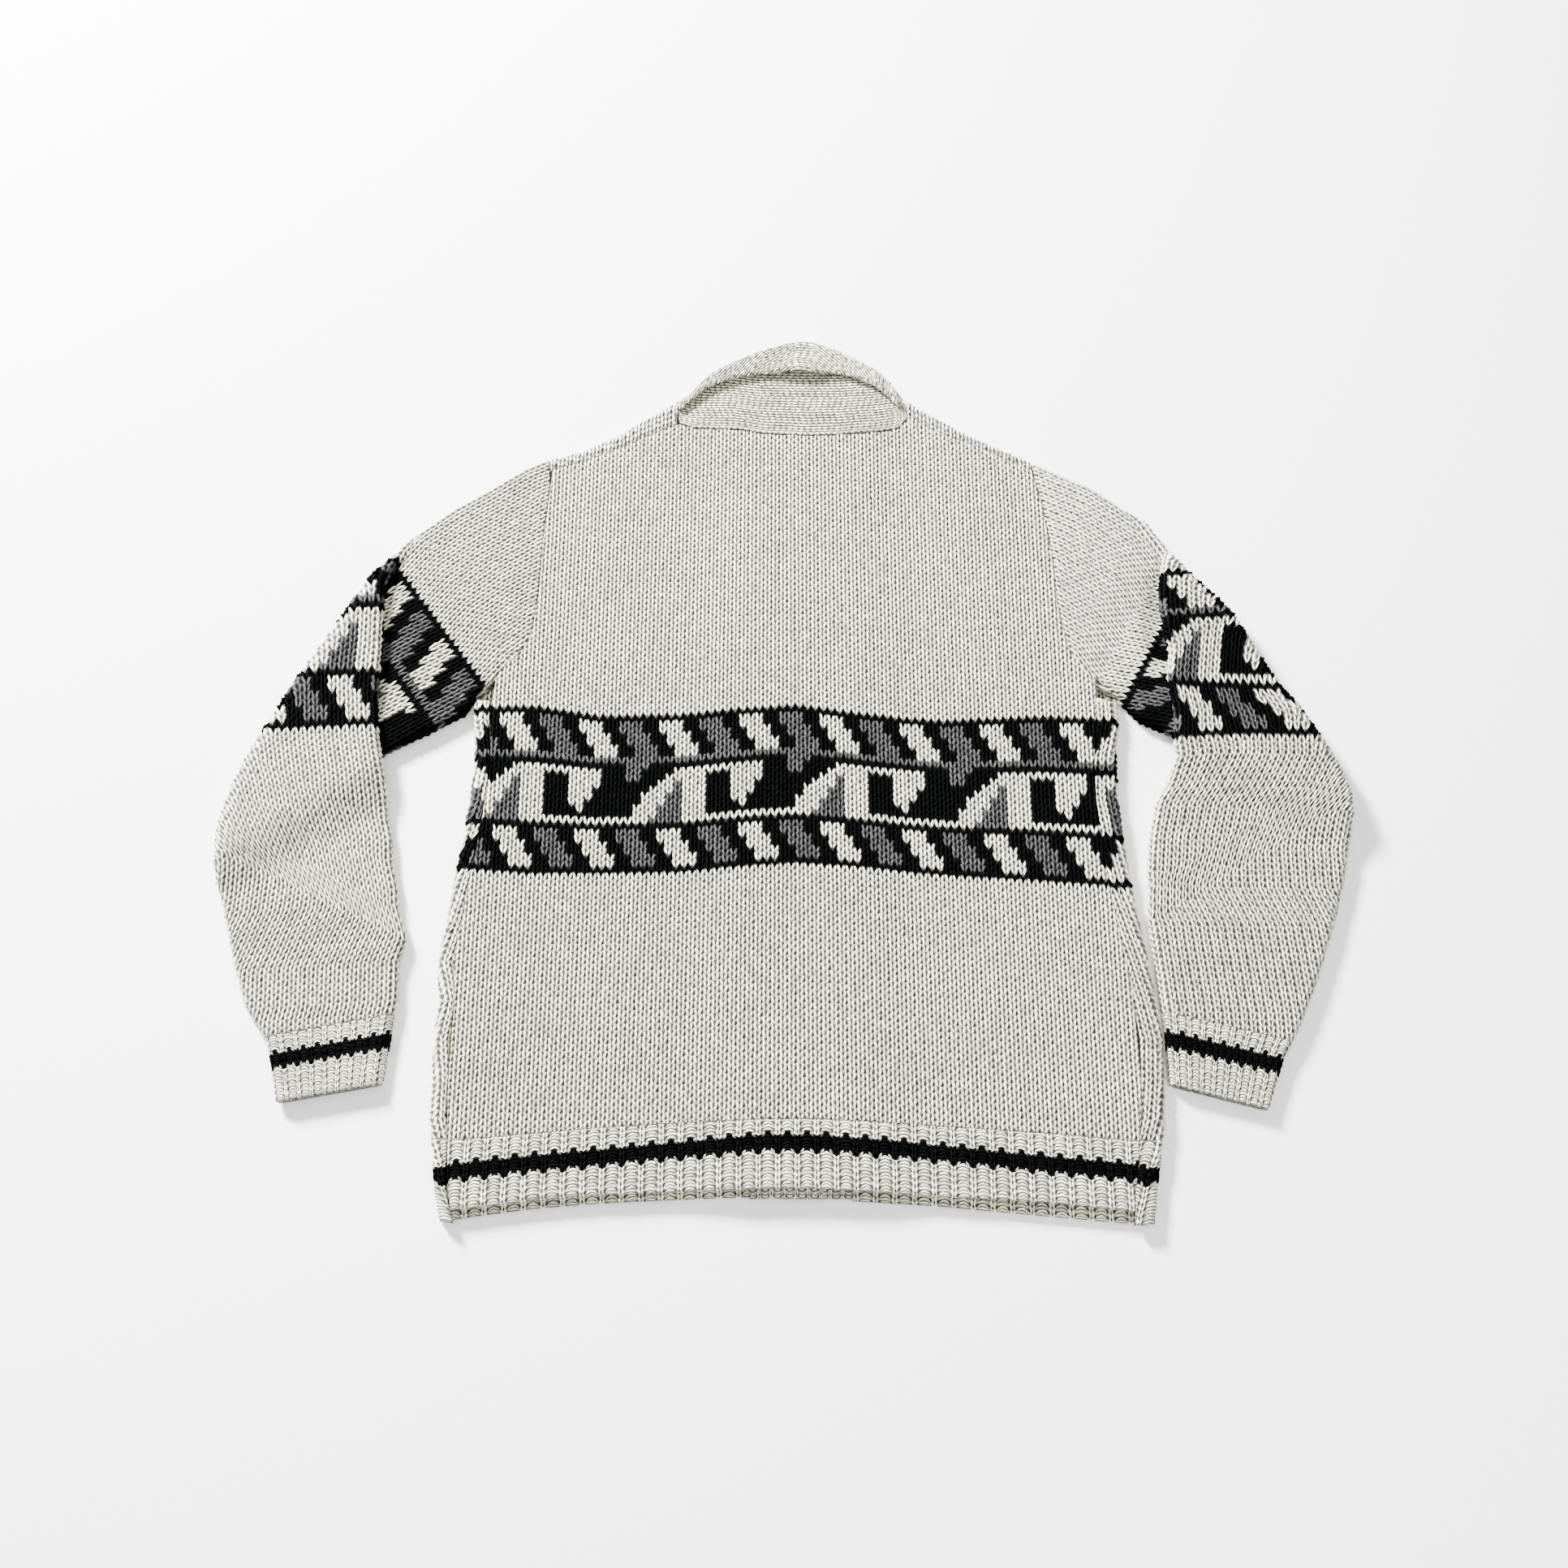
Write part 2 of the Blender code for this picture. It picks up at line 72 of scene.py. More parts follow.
# The pattern: its stitches across and down, and its straight top and bottom lines
CHART_WALES, CHART_ROWS = 20, 26
PATTERN_TOP, PATTERN_LOW = 66, -82
BODY_DROP = 4.6         # lets the body's rows down, because a stitch's dip carries them up

# Folded sides of the body: y up the garment, x of the left and of the right edge
EDGES = (
    (-378, -289, 284), (-350, -296, 288), (-325, -299, 293), (-293, -303, 298),
    (-261, -303, 300), (-228, -305, 301), (-195, -302, 298), (-162, -306, 294),
    (-120, -300, 288), (-92, -297, 284), (-58, -292, 281), (-15, -287, 278),
    (22, -285, 279), (55, -288, 283), (80, -289, 283),
)
SIDE_TOP = 79           # the side folds end here, just under the armholes
SEAM_IN = {-1: 13, 1: 19}   # how far inside the fold the back's side seam runs
BODY_END = -285         # below this line the body runs on into its hem

# Armhole seams from the shoulder down to the underarm: x, y
ARMHOLE = {
    -1: ((-234, 322), (-232, 294), (-235, 255), (-237, 219), (-238, 183), (-240, 160),
         (-243, 139), (-250, 125), (-264, 112), (-272, 98), (-290, 80)),
    1: ((219, 319), (222, 298), (227, 276), (231, 245), (234, 215), (236, 171),
        (240, 145), (245, 123), (255, 109), (265, 97), (285, 80)),
}
# Fold of each front over its shoulder, and the seam that joins it to the back: x, y
SHOULDER = {
    -1: ((-121, 383), (-150, 364), (-171, 349), (-205, 332), (-236, 323)),
    1: ((104, 387), (124, 373), (166, 347), (195, 332), (220, 320)),
}
SHOULDER_SEAM = {
    -1: ((-113, 361), (-139, 349), (-171, 333), (-200, 321), (-231, 311)),
    1: ((105, 368), (130, 353), (165, 338), (190, 325), (219, 311)),
}
# The collar's lines at the neck seam, along the roll and at the fall's free edge: x, y
NECK = ((-112, 361), (-99, 356), (-58, 352), (-32, 347), (9, 345), (40, 346), (72, 350),
        (94, 355), (103.5, 367))
ROLL = ((-117, 386), (-103, 396), (-95, 407), (-80, 423), (-56, 435), (-34, 446), (-2, 455),
        (16, 454), (41, 444), (76, 423), (90, 407), (100, 389))
FALL = ((-112, 377), (-99, 390), (-87, 401), (-63, 411), (-45, 415), (-16, 417), (16, 415),
        (44, 416), (63, 409), (77, 401), (96, 380))

# The hems: x, where they start, back edge, front edge, middle of the dark stripe
HEM = (
    (-300, -312, -369, -377, -341), (-265, -310, -365, -371, -337),
    (-218, -306, -359, -365, -332), (-171, -302, -355, -361, -328),
    (-107, -298, -353, -358, -322), (-29, -295, -350, -355, -316),
    (12, -295, -350, -357, -316), (82, -298, -354, -361, -321),
    (113, -300, -356, -363, -324), (203, -306, -361, -371, -333),
    (260, -311, -367, -376, -338), (300, -314, -371, -379, -342),
)
# How the rows of the body's pattern rise and dip: x, its top line, its bottom line
PATTERN_LINES = (
    (-290, 72, -79), (-232, 72, -83), (-179, 63, -83), (-108, 64, -82), (-37, 69, -77),
    (-3, 71, -75), (56, 63, -79), (130, 58, -85), (210, 62, -90), (290, 60, -96),
)

# Lines of each sleeve as it lies folded, where its pattern starts along it, the chart's wale
# on its ridge and which way the chart runs, how far the cloth dips beside the fold, and the
# height of one row of its pattern
SLEEVES = {
    -1: dict(
        ridge=((-235, 323), (-256, 313), (-288, 291), (-323, 268), (-354, 243), (-374, 219)),
        under=((-290, 80), (-298, 66), (-333, 46), (-366, 29), (-430, -10), (-505, -63)),
        bulge=((0, 0), (30, 8), (60, 10), (90, 12), (130, 16), (163, 17), (226, 19),
               (258, 16), (290, 9), (311, 0)),
        inner=((-374, 219), (-378, 171), (-376, 116), (-372, 40), (-364, 3), (-355, -51),
               (-346, -99), (-341, -162), (-339, -195), (-341, -207)),
        outer=((-505, -63), (-499, -93), (-491, -117), (-478, -162), (-463, -202), (-446, -226)),
        cuff_inner=((-341, -207), (-343, -229), (-346, -265)),
        cuff_outer=((-444, -226), (-438, -245), (-430, -280)),
        band_from=177, column=9, turn=1, sunk=2.5, row=7.1,
    ),
    1: dict(
        ridge=((219, 320), (240, 309), (276, 291), (300, 272), (321, 255), (340, 225)),
        under=((285, 80), (303, 59), (330, 46), (380, 25), (430, 5), (483, -18)),
        bulge=((0, 0), (28, 3), (60, 10), (85, 14), (127, 10), (162, 8), (190, 11),
               (223, 10), (253, 8), (282, 0)),
        inner=((340, 225), (328, 163), (331, 136), (330, 97), (334, 63), (333, 22), (323, -4),
               (313, -19), (305, -51), (301, -87), (299, -128), (302, -165), (305, -205)),
        outer=((483, -18), (477, -51), (468, -90), (453, -134), (435, -178), (418, -215),
               (409, -230)),
        cuff_inner=((305, -205), (306, -229), (306, -266)),
        cuff_outer=((409, -230), (398, -248), (384, -286)),
        band_from=180, column=1, turn=-1, sunk=6, row=6.5,
    ),
}
FOLD_AXIS = LAID + 0.5                          # height that a sleeve folds over round
FOLD_GIRTH = math.pi * (FOLD_AXIS - LAID / 2)   # cloth that its fold takes up
DROP_RUN = 50                                   # run over which a fold comes down to the floor
WRAP = math.pi * (LAID / 2 - WALL / 2)          # cloth that a front's side fold takes up
LEAN = 0.88                                     # the shoulder fold slants by this cosine
CROWN = 5.0                                     # rise of the back over the lapped bands
CROWN_HALF = 105                                # the rise ends this far from the middle

# The front bands: y, the seam's distance from the middle, the free edge's distance
BAND = (
    (-357, 42, -18), (-200, 42, -18), (0, 42, -18), (120, 42, -18), (170, 52, -6),
    (240, 76, 16), (300, 95, 34), (345, 106, 48),
)


def column(table, number, at):
    """Read one column of a table between its rows."""
    rows = np.array(table, float)
    return np.interp(at, rows[:, 0], rows[:, number])


def share_of(points):
    """How far along a line each of its points lies, 0 to 1."""
    steps = np.hypot(*np.diff(np.array(points, float), axis=0).T)
    return np.concatenate(([0], np.cumsum(steps))) / steps.sum()


def along(points, shares):
    """Points at the given shares of a line's length."""
    pts = np.array(points, float)
    run = share_of(pts)
    return np.stack([np.interp(shares, run, pts[:, i]) for i in range(pts.shape[1])], axis=-1)


def smooth(value):
    """Ease a share from 0 to 1 in and out."""
    value = np.clip(value, 0, 1)
    return value * value * (3 - 2 * value)


def unit(way):
    return way / np.hypot(*way)


def spread(values, size):
    """A row or a column of numbers repeated over a whole lattice, as one list."""
    return np.broadcast_to(values, size).ravel()


def rolled(offset, height, start, axis, middle):
    """Carry points that lie beyond the start of a fold round its axis."""
    radius = axis - height
    girth = axis - middle
    run = offset - start
    angle = np.clip(run / girth, 0, math.pi)
    past = np.maximum(run - math.pi * girth, 0)
    bent = run > 0
    flat_to = np.where(bent, start + radius * np.sin(angle) - past, offset)
    up_to = np.where(bent, axis - radius * np.cos(angle), height)
    return flat_to, up_to


def crown(x):
    """The back lies higher over the lapped bands."""
    return CROWN * smooth((CROWN_HALF - np.abs(x)) / 60)


def edge_x(side, y):
    return column(EDGES, 1 if side < 0 else 2, y)


def line_over(points, at, key):
    """Read a line's other coordinate, with key saying which one it is read by."""
    rows = np.array(sorted(points, key=lambda p: p[key]), float)
    return np.interp(at, rows[:, key], rows[:, 1 - key])


def chart(wale, row):
    """Yarn of one stitch of the pattern, rows counted down from its top.

    Twenty wales by twenty-six rows: teeth in rows 1 to 6, a hooked wave with its slope on
    the left in rows 9 to 17, and teeth again in rows 19 to 24, with dark rows between.
    """
    c = np.asarray(wale) % CHART_WALES
    r = np.asarray(row)
    yarn = np.where((r >= 0) & (r < CHART_ROWS), BLACK, OATMEAL)
    for first in (1, 19):
        t = r - first
        teeth = (t >= 0) & (t < 6)
        step = (c - t // 2) % 10
        yarn = np.where(teeth & (step >= 3) & (step <= 5), OATMEAL, yarn)
        yarn = np.where(teeth & ((step >= 8) | (step == 0)), CHARCOAL, yarn)
    yarn = np.where(r == 7, CHARCOAL, yarn)
    yarn = np.where((r == 8) & ((c == 19) | (c <= 1)), CHARCOAL, yarn)
    w = r - 8
    wave = (w >= 1) & (w <= 9)
    slope = ((7, 9), (5, 9), (4, 8), (3, 6), (2, 4), (1, 2))
    for number, (top, low) in enumerate(slope):
        here = wave & (c == number)
        yarn = np.where(here & (w >= top) & (w <= low), OATMEAL, yarn)
        yarn = np.where(here & (w > low), CHARCOAL, yarn)
    yarn = np.where(wave & (c >= 6) & (c <= 8), OATMEAL, yarn)
    yarn = np.where(wave & (c >= 9) & (c <= 11) & ((w == 1) | (w == 9)), OATMEAL, yarn)
    for number, low in zip((12, 13, 14, 15), (6, 7, 5, 3)):
        yarn = np.where(wave & (c == number) & (w <= low), OATMEAL, yarn)
    yarn = np.where((w == 9) & (c >= 12), OATMEAL, yarn)
    yarn = np.where(((w == 1) | (w == 2)) & ((c == 19) | (c == 0)), CHARCOAL, yarn)
    return yarn


class Stitches:
    """A form of stitch, given line by line across one pitch."""

    def __init__(self, height, strands, *lines, pace=1.0):
        table = np.array(lines, float)
        self.height = height        # relief in millimetres
        self.pace = pace            # repeats of the wool's look in one row of stitches
        self.strands = strands      # strands of yarn side by side in one pitch
        self.lines = table[:, 0]    # share of the pitch at which each line runs
        self.strand = table[:, 1]   # its place counted in strands
        self.ridge = table[:, 2]    # its height in the middle of a row
        self.between = table[:, 3]  # its height where two rows meet
        self.dip = table[:, 4]      # how far it is moved up, in rows
        self.arch = table[:, 5]     # 1 on the wrong side of the stitch, where arcs show


# columns: line, strand, ridge, between, dip, arch
PLAIN = Stitches(2.5, 2,
                 (0.00, 0.0, 0.05, 0.00, 0.95, 0),
                 (0.26, 0.5, 1.00, 0.45, 0.50, 0),
                 (0.50, 1.0, 0.25, 0.10, 0.00, 0),
                 (0.74, 1.5, 1.00, 0.45, 0.50, 0))
RIBS = Stitches(1.6, 3,
                (0.00, 0.00, 0.35, 0.25, 0.30, 0),
                (0.16, 0.25, 0.70, 0.50, 0.60, 1),
                (0.33, 0.50, 0.80, 0.60, 0.75, 1),
                (0.50, 0.75, 0.70, 0.50, 0.60, 1),
                (0.66, 1.00, 0.35, 0.25, 0.30, 0),
                (0.75, 1.50, 1.25, 1.05, 0.15, 0),
                (0.83, 2.00, 0.55, 0.45, 0.00, 0),
                (0.91, 2.50, 1.25, 1.05, 0.15, 0))
PURL = Stitches(1.2, 1,
                (0.00, 0.00, 0.50, 0.10, 0.00, 1),
                (0.25, 0.25, 0.90, 0.20, 0.15, 1),
                (0.50, 0.50, 1.10, 0.25, 0.20, 1),
                (0.75, 0.75, 0.90, 0.20, 0.15, 1), pace=0.5)
# With no relief, the inner side's ridge only sets how much painted shade its wool gets
INSIDE = Stitches(0, 4,
                  (0.00, 0.0, 0.30, 0.30, 0.00, 0))


def open_edges(quads, tint, total):
    """Edges that only one face has, each with the wool of that face."""
    edges = np.stack([quads, np.roll(quads, -1, axis=1)], -1).reshape(-1, 2)
    ordered = np.sort(edges, axis=1)
    key = ordered[:, 0].astype(np.int64) * total + ordered[:, 1]
    _, first, counts = np.unique(key, return_index=True, return_counts=True)
    border = first[counts == 1]
    return edges[border], np.repeat(tint, 4)[border]


def knit(name, form, wales, rows, spot, hold, place, yarn, rim=True, lining=False,
         rim_here=None, lining_relief=0.0, level=None):
    """Make the skin of one piece on a lattice of stitches.

    spot turns wale and row numbers into the piece's flat plane, hold keeps points inside
    its outline, place lifts them to where the cloth lies and yarn picks each stitch's wool.
    Edges are tucked down to a seam, but for those where level says that the knitting runs on.
    """
    per = len(form.lines)
    numbers = np.arange(wales[0] * per, wales[1] * per + 1)
    kind = numbers % per
    stitch_number = numbers // per
    halves = np.arange(rows[0] * 2, rows[1] * 2 + 1)
    t = halves / 2.0
    size = (len(t), len(numbers))
    uneven = np.random.default_rng(len(name) * 7 + wales[1])
    flat_x, flat_y = spot((stitch_number + form.lines[kind])[None, :],
                          t[:, None] - form.dip[kind][None, :])
    flat_x = flat_x + uneven.normal(0, WANDER, size)
    flat_y = flat_y + uneven.normal(0, WANDER, size)
    plump = 1 + uneven.normal(0, PLUMPNESS, size)
    middle = (halves % 2 == 1)[:, None]
    rise = np.where(middle, form.ridge[kind][None, :], form.between[kind][None, :]) * plump
    held_x, held_y = hold(flat_x, flat_y)
    moved = np.hypot(held_x - flat_x, held_y - flat_y)
    tucked = np.clip(1 - moved / TUCK, 0, 1)
    if level is not None:
        tucked = np.maximum(tucked, np.where(level(held_x, held_y), RUN_ON, 0))
    rise = rise * tucked - (1 - tucked) * EDGE_SINK
    # lit, kept as the rise attribute, sets the painted shade in the hollows: the lower the cloth,
    # the darker its wool is painted, and edges are painted lighter
    lit = rise + (1 - tucked) * EDGE_LIGHT

    xs, ys = held_x.ravel(), held_y.ravel()
    total = len(xs)
    index = np.arange(total).reshape(size)
    quads = np.stack([index[:-1, :-1], index[1:, :-1], index[1:, 1:], index[:-1, 1:]], -1)
    quads = quads.reshape(-1, 4)
    corners = np.stack([xs, ys], -1)[quads]
    one, other = corners[:, 2] - corners[:, 0], corners[:, 3] - corners[:, 1]
    keep = np.abs(one[:, 0] * other[:, 1] - one[:, 1] * other[:, 0]) / 2 > SLIVER
    cells = (size[0] - 1, size[1] - 1)
    tint = yarn(spread(stitch_number[:-1], cells), spread(t[:-1, None], cells),
                spread(kind[:-1], cells))[keep]
    quads = quads[keep]

    points = [place(xs, ys, rise.ravel() * form.height)]
    faces, tints, rises, sources = [quads], [tint], [lit.ravel()], [np.arange(total)]
    if rim:
        edge, shade = open_edges(quads, tint, total)
        if rim_here is not None:
            wanted = rim_here(xs[edge].mean(1), ys[edge].mean(1))
            edge, shade = edge[wanted], shade[wanted]
        if lining:
            below, back = np.arange(total), edge
            points.append(place(xs, ys, np.full(total, -WALL) - rise.ravel() * lining_relief))
            # The lining side is painted with little shade in its hollows
            rises.append(np.maximum(lit, 0.6 if lining_relief < 1 else -1).ravel())
            faces.append(quads[:, ::-1] + total)
            tints.append(tint)
        else:
            below, back = np.unique(edge, return_inverse=True)
            back = back.reshape(edge.shape)
            points.append(place(xs[below], ys[below], np.full(len(below), -WALL)))
            # The rim walls get a middling painted shade
            rises.append(np.full(len(below), 0.5))
        faces.append(np.stack([edge[:, 1], edge[:, 0], back[:, 0] + total, back[:, 1] + total],
                              -1))
        tints.append(shade)
        sources.append(below)
    strand = stitch_number * form.strands + form.strand[kind]
    stitch = np.stack([spread(strand, size), spread(t[:, None] * form.pace, size),
                       spread(form.arch[kind], size)], -1)[np.concatenate(sources)]
    return sheet_mesh(name, np.concatenate(points) * MM, np.concatenate(faces),
                      np.concatenate(tints), np.concatenate(rises), stitch)


def sheet_mesh(name, points, faces, tints, rises, stitch):
    """Turn arrays of points and faces into a piece with its three wools."""
    used, again = np.unique(faces, return_inverse=True)
    faces = again.reshape(faces.shape)
    points, rises, stitch = points[used], rises[used], stitch[used]
    mesh = bpy.data.meshes.new(name)
    mesh.vertices.add(len(points))
    mesh.vertices.foreach_set("co", points.astype(np.float32).ravel())
    mesh.loops.add(faces.size)
    mesh.loops.foreach_set("vertex_index", faces.astype(np.int32).ravel())
    mesh.polygons.add(len(faces))
    mesh.polygons.foreach_set("loop_start", np.arange(0, faces.size, 4, dtype=np.int32))
    for make_wool in WOOLS:
        mesh.materials.append(make_wool())
    mesh.polygons.foreach_set("material_index", tints.astype(np.int32))
    mesh.update(calc_edges=True)
    mesh.validate()
    for label, values in (("rise", rises), ("arch", stitch[:, 2])):
        kept = mesh.attributes.new(label, "FLOAT", "POINT")
        kept.data.foreach_set("value", values.astype(np.float32))
    uv = mesh.uv_layers.new(name="Stitch")
    loops = np.empty(len(mesh.loops), np.int32)
    mesh.loops.foreach_get("vertex_index", loops)
    uv.data.foreach_set("uv", stitch[loops, :2].astype(np.float32).ravel())
    mesh.shade_smooth()
    obj = bpy.data.objects.new(mesh.name, mesh)
    bpy.context.scene.collection.objects.link(obj)
    return obj


def dressed(obj, node):
    """Let a finished piece stand for its CAD node."""
    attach(obj, "root")
    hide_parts(node)


class Value:
    """A socket's value; each sum on it adds a Math node."""

    def __init__(self, shop, socket):
        self.shop = shop
        self.socket = socket

    def _math(self, kind, first, second=0.0):
        return self.shop.node("ShaderNodeMath", {"operation": kind}, {0: first, 1: second})

    def __add__(self, other):
        return self._math("ADD", self, other)

    __radd__ = __add__

    def __mul__(self, other):
        return self._math("MULTIPLY", self, other)

    __rmul__ = __mul__

    def __sub__(self, other):
        return self._math("SUBTRACT", self, other)

    def __rsub__(self, other):
        return self._math("SUBTRACT", other, self)

    def clamped(self):
        return self._math("MINIMUM", self._math("MAXIMUM", self, 0.0), 1.0)

    def sine(self):
        return self._math("SINE", self)

    def part(self):
        return self._math("FRACT", self)

    def whole(self):
        return self._math("FLOOR", self)

    def absolute(self):
        return self._math("ABSOLUTE", self)


class Shop:
    """Adds nodes to one material."""

    def __init__(self, name):
        self.material = bpy.data.materials.new(name)
        self.material.use_nodes = True
        self.tree = self.material.node_tree
        self.shader = self.tree.nodes["Principled BSDF"]

    def node(self, kind, settings, sockets, output=0):
        made = self.tree.nodes.new(kind)
        for key, value in settings.items():
            setattr(made, key, value)
        for key, value in sockets.items():
            self.feed(made.inputs[key], value)
        return Value(self, made.outputs[output])

    def feed(self, socket, value):
        if isinstance(value, Value):
            self.tree.links.new(value.socket, socket)
        else:
            socket.default_value = value

    def into(self, name, value):
        self.feed(self.shader.inputs[name], value)

    def mix(self, share, first, second):
        return self.node("ShaderNodeMix", {"data_type": "RGBA"},
                         {0: share, 6: first, 7: second}, output=2)


_made = {}
TURN = 6.283            # a whole turn of the yarn's twist


def toned(colour, factors):
    """A colour with each of its parts made lighter or darker."""
    return (*(part * factor for part, factor in zip(colour, factors)), 1)


def wool(name, colour, shade, fleck, fleck_share, sheen):
    """Plump woollen yarn: fibres, a soft twist, lighter or darker hairs, and painted light and
    shade on its stitches.
    """
    if name in _made:
        return _made[name]
    shop = Shop(name)
    place = shop.node("ShaderNodeTexCoord", {}, {}, output="Object")
    stitch = shop.node("ShaderNodeUVMap", {"uv_map": "Stitch"}, {})
    across = shop.node("ShaderNodeSeparateXYZ", {}, {0: stitch})
    down = Value(shop, across.socket.node.outputs[1])
    # How low the cloth lies, which sets the painted shade in its hollows
    rise = shop.node("ShaderNodeAttribute", {"attribute_name": "rise"}, {}, output="Fac")
    arch = shop.node("ShaderNodeAttribute", {"attribute_name": "arch"}, {}, output="Fac")
    heather = shop.node("ShaderNodeTexNoise", {}, {"Vector": place, "Scale": 170.0,
                                                  "Detail": 3.0, "Roughness": 0.6})
    cloud = shop.node("ShaderNodeTexNoise", {}, {"Vector": place, "Scale": 14.0, "Detail": 2.0})
    fibre = shop.node("ShaderNodeTexNoise", {}, {"Vector": place, "Scale": 1400.0,
                                                "Detail": 4.0, "Roughness": 0.7})
    hairs = shop.node("ShaderNodeTexNoise", {}, {"Vector": place, "Scale": 620.0, "Detail": 2.0})
    loop = shop.node("ShaderNodeCombineXYZ", {}, {0: across.whole(), 1: down.whole()})
    chance = shop.node("ShaderNodeTexWhiteNoise", {}, {"Vector": loop})
    uneven = (heather - 0.5) * 0.45
    edge = ((across.part() * 2 - 1).absolute() + uneven).clamped()
    end = ((down.part() * 2 - 1).absolute() + uneven).clamped()
    arc = (((down * 2).part() * 2 - 1).absolute() + uneven).clamped()
    edge_far = edge * edge
    end_far = end * end
    arc_far = arc * arc
    # Painted shade: the hollows between the legs, between the arcs and wherever the cloth lies
    # low are painted darker
    leg_pit_shade = edge_far * (end_far * 2.7 + 0.55) + end_far * 0.2 - 0.16
    arc_pit_shade = arc_far * 1.5 + edge_far * 0.4 - 0.25
    pit_shade = (leg_pit_shade * (1 - arch) + arc_pit_shade * arch + ((0.6 - rise) * 0.75).clamped()).clamped()
    # Painted light and shade on each leg: lighter along its crest, darker towards its sides and
    # ends
    leg_crest_light = 1 - edge_far * 0.75 - end_far * 0.4
    lean = (across.part() - 0.5).absolute() * 2
    twist = ((down * 2.2 + lean * 0.35) * TURN).sine()
    # Mix of the darker and lighter colour: heather, cloud and chance are the wool's own uneven
    # tone; the twist and the legs' crests add painted light and shade
    share = ((heather - 0.5) * 2.0 + (cloud - 0.5) * 0.7 + (chance - 0.5) * 1.0
             + twist * 0.1 + leg_crest_light * 0.9)
    body = shop.mix(share.clamped(), shade, colour)
    body = shop.mix(((hairs - (1 - fleck_share)) * 9.0).clamped(), body, fleck)
    # The painted shade in the hollows darkens the wool nearly to black
    shop.into("Base Color", shop.mix(pit_shade, body, toned(shade, (0.05,) * 3)))
    shop.into("Roughness", 0.9)
    shop.into("Specular IOR Level", sheen * 0.4)
    shop.into("Sheen Weight", sheen)
    shop.into("Sheen Roughness", 0.5)
    height = (1 - pit_shade) * 0.8 + fibre * 0.2 + hairs * 0.12 + twist * 0.05 + heather * 0.22
    shop.into("Normal", shop.node("ShaderNodeBump", {}, {"Strength": 1.0, "Distance": 0.0024,
                                                        "Height": height}))
    _made[name] = shop.material
    return shop.material


def oatmeal_wool():
    c = bpy.context.scene.cardigan_wool.oatmeal
    # A darker copy of the colour, for painted shade and for the heather's dark fibres
    return wool("oatmeal_wool", (*c, 1), toned(c, (0.49, 0.48, 0.54)), (0.5, 0.45, 0.37, 1),
                0.36, 0.3)


def black_wool():
    c = bpy.context.scene.cardigan_wool.black
    # A lighter copy of the colour for painted light on the crests and the heather's pale fibres;
    # the colour itself is the painted shade
    return wool("black_wool", toned(c, (1.5,) * 3), (*c, 1), (0.02, 0.02, 0.02, 1), 0.3, 0.0)


def charcoal_wool():
    c = bpy.context.scene.cardigan_wool.charcoal
    # Lighter and darker copies of the colour, for painted light and shade and for the heather's
    # tones
    return wool("charcoal_wool", toned(c, (1.3,) * 3), toned(c, (0.6,) * 3),
                (0.13, 0.13, 0.125, 1), 0.42, 0.03)


WOOLS = (oatmeal_wool, black_wool, charcoal_wool)


def plain(w, t, kind):
    """Every stitch in the ground wool."""
    return np.full(len(w), OATMEAL)


def pattern_lift(x, y):
    """How far the rows at a place lie above straight ones."""
    top = column(PATTERN_LINES, 1, x) - PATTERN_TOP
    low = column(PATTERN_LINES, 2, x) - PATTERN_LOW
    share = np.clip((PATTERN_TOP - y) / (PATTERN_TOP - PATTERN_LOW), -0.6, 1.6)
    fade = np.minimum(1.9 - np.abs(share - 0.5), 1)
    return (top + (low - top) * np.clip(share, 0, 1)) * fade


def body_spot(w, t):
    x = (w - 0.5) * BODY_WALE
    y = PATTERN_TOP - t * ROW
    return x, y + pattern_lift(x, y) - BODY_DROP


def above_hem(x, y):
    """Where the body's knitting runs on into its hem."""
    return y < BODY_END


def hem_top(x):
    """The line where the hems start, level where the fronts wrap round the sides."""
    return column(HEM, 1, np.clip(x, -270, 270))


def back_hold(x, y):
    """Keep a point inside the seams of the back."""
    side_rows = (-312, -261, -195, -162, -120, -92, -58, -15, 22, 62)
    lines = {}
    for side in (-1, 1):
        line = [(edge_x(side, q) - side * SEAM_IN[side], q) for q in side_rows]
        line += [(p - side * SEAM, q) for p, q in ARMHOLE[side][1:-1]]
        end_x, end_y = SHOULDER_SEAM[side][-1]
        lines[side] = line + [(end_x - side * SEAM, end_y)]
    x = np.clip(x, line_over(lines[-1], y, 1), line_over(lines[1], y, 1))
    top = list(SHOULDER_SEAM[-1][::-1]) + list(NECK[1:-1]) + list(SHOULDER_SEAM[1])
    high = line_over(top, x, 0) - SEAM
    low = column(HEM, 1, x) + SEAM
    return x, np.clip(y, low, high)


def back_place(x, y, depth):
    return np.stack([x, y, LAID + crown(x) + depth], -1)


def knit_back():
    skin = knit("back_knit", PLAIN, (-42, 43), (-56, 68), body_spot, back_hold, back_place,
                lambda w, t, kind: chart(w, np.floor(t)), level=above_hem)
    inner = knit("back_inner_side", INSIDE, (-21, 22), (-27, 34),
                 lambda w, t: (w * WALE * 2, PATTERN_TOP - t * ROW * 2),
                 back_hold, lambda x, y, depth: back_place(x, y, depth - WALL),
                 plain, rim=False)
    inner.data.flip_normals()
    for obj in (skin, inner):
        dressed(obj, "back")


